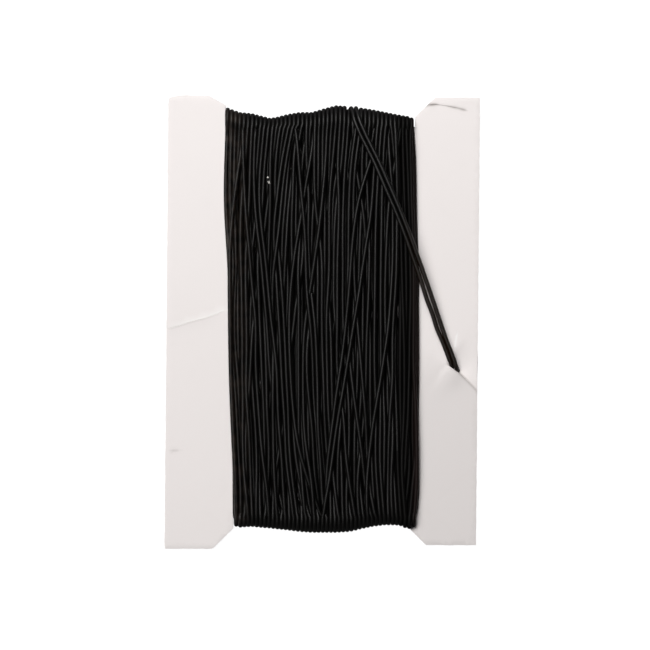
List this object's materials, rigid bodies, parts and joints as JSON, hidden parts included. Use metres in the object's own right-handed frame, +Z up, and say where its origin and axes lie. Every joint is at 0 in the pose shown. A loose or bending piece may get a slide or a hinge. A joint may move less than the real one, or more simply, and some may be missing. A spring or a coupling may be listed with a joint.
{
  "type": "card of elastic",
  "caption": "Notched off-white card with black round cord elastic wound upright round its waist, its loose doubled end caught in a slit at the right edge.",
  "frame": {"origin": "on the surface that the card lies on, under the middle of the card", "axes": "+X to the card's right, +Y to its top edge, +Z up, out of its front face"},
  "size_m": [0.079, 0.1134, 0.0105],
  "materials": {
    "board": "matt off-white lined board",
    "elastic": "black braided cover with a soft low sheen"
  },
  "bodies": {
    "root": {"card": "board", "winding": "elastic", "loose_end_1": "elastic", "loose_end_2": "elastic"}
  },
  "joints": []
}
